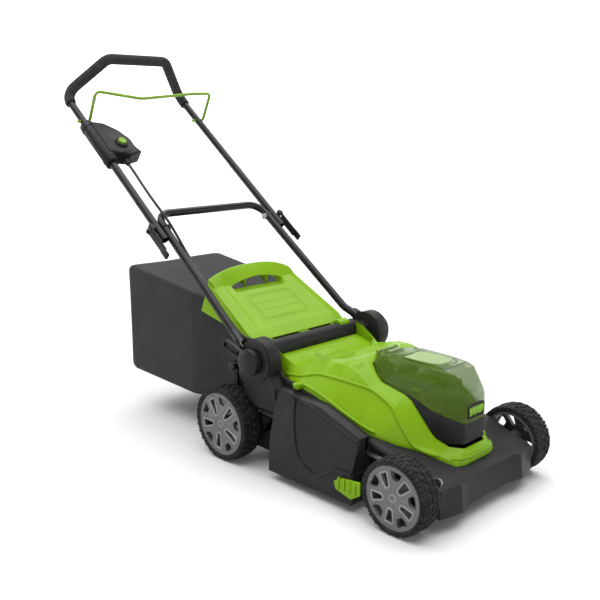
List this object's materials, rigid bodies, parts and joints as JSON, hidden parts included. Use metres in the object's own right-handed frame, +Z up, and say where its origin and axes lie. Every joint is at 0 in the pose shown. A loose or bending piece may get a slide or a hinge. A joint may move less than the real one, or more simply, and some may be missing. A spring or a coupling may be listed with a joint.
{
  "type": "walk-behind lawn mower",
  "caption": "Battery lawn mower pushed by a folding tube handle, with a moulded deck, wheels on height-adjusting axles, a blade, a rear flap and a fabric grass bag.",
  "frame": {"origin": "on the ground, below the centre of the mower's bounding box", "axes": "+Z up, +Y from the front bumper to the grip, +X to the operator's left"},
  "size_m": [0.474, 1.2936, 0.9646],
  "materials": {
    "deck_black": "moulded, finely grained",
    "panel_green": "moulded, satin gloss",
    "lid_green": "translucent smoked polycarbonate",
    "inner_black": "moulded, satin",
    "tyre_black": "block tread",
    "hub_grey": "moulded, silver-grey",
    "tube_black": "powder coat",
    "bail_green": "powder coat",
    "bright_steel": "zinc plated",
    "blade_steel": "painted, ground edges",
    "motor_alloy": "cast",
    "foam": "closed-cell foam",
    "bag_cloth": "woven polyester, coated",
    "bag_rim": "moulded",
    "cable_black": "smooth sheath",
    "button_green": "moulded"
  },
  "bodies": {
    "chassis": {"deck_shell": "deck_black", "motor_cover": "panel_green", "battery_tray": "inner_black", "lid_hinge_pin": "bright_steel", "terminal_block": "inner_black", "motor_can": "motor_alloy", "pivot_tower_left": "deck_black", "pivot_tower_right": "deck_black", "pivot_discs": "deck_black", "pivot_bolts": "bright_steel", "rear_bridge": "deck_black", "bridge_clip": "panel_green", "flap_rod": "bright_steel", "flap_spring": "bright_steel", "grass_combs": "panel_green", "cable_deck": "cable_black"},
    "front_axle_set": {"front_axle": "bright_steel", "front_axle_nuts": "bright_steel"},
    "rear_axle_set": {"rear_axle": "bright_steel", "rear_axle_nuts": "bright_steel", "height_lever": "tube_black"},
    "link": {"height_link": "bright_steel"},
    "wheel_front_left": {"tyre_front_left": "tyre_black", "hub_front_left": "hub_grey"},
    "wheel_front_right": {"tyre_front_right": "tyre_black", "hub_front_right": "hub_grey"},
    "wheel_rear_left": {"tyre_rear_left": "tyre_black", "hub_rear_left": "hub_grey"},
    "wheel_rear_right": {"tyre_rear_right": "tyre_black", "hub_rear_right": "hub_grey"},
    "rotor": {"motor_shaft": "bright_steel", "blade_carrier": "inner_black", "blade": "blade_steel", "blade_bolt": "bright_steel"},
    "lower_handle_set": {"lower_handle": "tube_black", "clamp_saddles": "inner_black", "clamp_bolts": "bright_steel", "cable_lower": "cable_black"},
    "upper_handle_set": {"upper_handle": "tube_black", "foam_grip": "foam", "switch_shell_upper": "inner_black", "switch_shell_lower": "inner_black", "strain_relief": "cable_black", "cable_upper": "cable_black"},
    "bail_bar": {"bail": "bail_green", "bail_wire": "bright_steel"},
    "button": {"lock_button": "button_green", "button_spring": "bright_steel"},
    "cam_right": {"cam_lever_right": "inner_black"},
    "cam_left": {"cam_lever_left": "inner_black"},
    "knob_right": {"pivot_lever_right": "inner_black"},
    "knob_left": {"pivot_lever_left": "inner_black"},
    "flap": {"rear_flap": "panel_green"},
    "lid": {"battery_lid": "lid_green"},
    "pack_left": {"battery_left": "inner_black"},
    "pack_right": {"battery_right": "inner_black"},
    "bag": {"grass_bag": "bag_cloth", "bag_frame": "bag_rim"}
  },
  "joints": [
    {"name": "height_adjust", "type": "hinge", "parent": "chassis", "child": "rear_axle_set", "pos_m": [0, -0.08622, 0.06993], "axis": [1, 0, 0], "range_deg": [-54, 0]},
    {"name": "front_height", "type": "hinge", "parent": "chassis", "child": "front_axle_set", "pos_m": [0, -0.60322, 0.05943], "axis": [1, 0, 0], "range_deg": [-54, 0]},
    {"name": "link_swing", "type": "hinge", "parent": "rear_axle_set", "child": "link", "pos_m": [0, -0.11437, 0.12518], "axis": [1, 0, 0], "range_deg": [0, 54]},
    {"name": "wheel_front_left_spin", "type": "hinge", "parent": "front_axle_set", "child": "wheel_front_left", "pos_m": [0.209, -0.5658, 0.0785], "axis": [1, 0, 0], "continuous": true},
    {"name": "wheel_front_right_spin", "type": "hinge", "parent": "front_axle_set", "child": "wheel_front_right", "pos_m": [-0.209, -0.5658, 0.0785], "axis": [1, 0, 0], "continuous": true},
    {"name": "wheel_rear_left_spin", "type": "hinge", "parent": "rear_axle_set", "child": "wheel_rear_left", "pos_m": [0.209, -0.0488, 0.089], "axis": [1, 0, 0], "continuous": true},
    {"name": "wheel_rear_right_spin", "type": "hinge", "parent": "rear_axle_set", "child": "wheel_rear_right", "pos_m": [-0.209, -0.0488, 0.089], "axis": [1, 0, 0], "continuous": true},
    {"name": "blade_spin", "type": "hinge", "parent": "chassis", "child": "rotor", "pos_m": [0, -0.3123, 0.06], "axis": [0, 0, 1], "continuous": true},
    {"name": "handle_fold", "type": "hinge", "parent": "chassis", "child": "lower_handle_set", "pos_m": [0, -0.1433, 0.258], "axis": [1, 0, 0], "range_deg": [0, 125]},
    {"name": "upper_fold", "type": "hinge", "parent": "lower_handle_set", "child": "upper_handle_set", "pos_m": [0, 0.2252, 0.522], "axis": [1, 0, 0], "range_deg": [-60, 0]},
    {"name": "bail_squeeze", "type": "hinge", "parent": "upper_handle_set", "child": "bail_bar", "pos_m": [0, 0.55481, 0.78231], "axis": [1, 0, 0], "range_deg": [-38, 0], "stiffness_Nm_per_rad": 0.6, "springref_deg": 17.19},
    {"name": "button_press", "type": "slide", "parent": "upper_handle_set", "child": "button", "axis": [0, 0.6198, -0.7848], "range_m": [0, 0.004], "stiffness_N_per_m": 800, "springref_m": -0.001},
    {"name": "cam_right_flip", "type": "hinge", "parent": "lower_handle_set", "child": "cam_right", "pos_m": [-0.2186, 0.2252, 0.522], "axis": [0, 0.6198, -0.7848], "range_deg": [0, 90]},
    {"name": "cam_left_flip", "type": "hinge", "parent": "lower_handle_set", "child": "cam_left", "pos_m": [0.2186, 0.2252, 0.522], "axis": [0, -0.6198, 0.7848], "range_deg": [0, 90]},
    {"name": "knob_right_turn", "type": "hinge", "parent": "chassis", "child": "knob_right", "pos_m": [-0.22, -0.1433, 0.258], "axis": [1, 0, 0], "range_deg": [0, 90]},
    {"name": "knob_left_turn", "type": "hinge", "parent": "chassis", "child": "knob_left", "pos_m": [0.22, -0.1433, 0.258], "axis": [1, 0, 0], "range_deg": [0, 90]},
    {"name": "flap_lift", "type": "hinge", "parent": "chassis", "child": "flap", "pos_m": [0, -0.0973, 0.275], "axis": [1, 0, 0], "range_deg": [0, 55], "stiffness_Nm_per_rad": 0.3, "springref_deg": -22.92},
    {"name": "lid_open", "type": "hinge", "parent": "chassis", "child": "lid", "pos_m": [0, -0.3573, 0.287], "axis": [-1, 0, 0], "range_deg": [0, 75]},
    {"name": "pack_left_lift", "type": "slide", "parent": "chassis", "child": "pack_left", "axis": [0, 0, 1], "range_m": [0, 0.006]},
    {"name": "pack_right_lift", "type": "slide", "parent": "chassis", "child": "pack_right", "axis": [0, 0, 1], "range_m": [0, 0.006]},
    {"name": "bag_draw", "type": "slide", "parent": "chassis", "child": "bag", "axis": [0, 1, 0], "range_m": [0, 0.12]}
  ],
  "couplings": [
    {"joint": "front_height", "follows": "height_adjust", "ratio": 1},
    {"joint": "link_swing", "follows": "height_adjust", "ratio": -1}
  ]
}
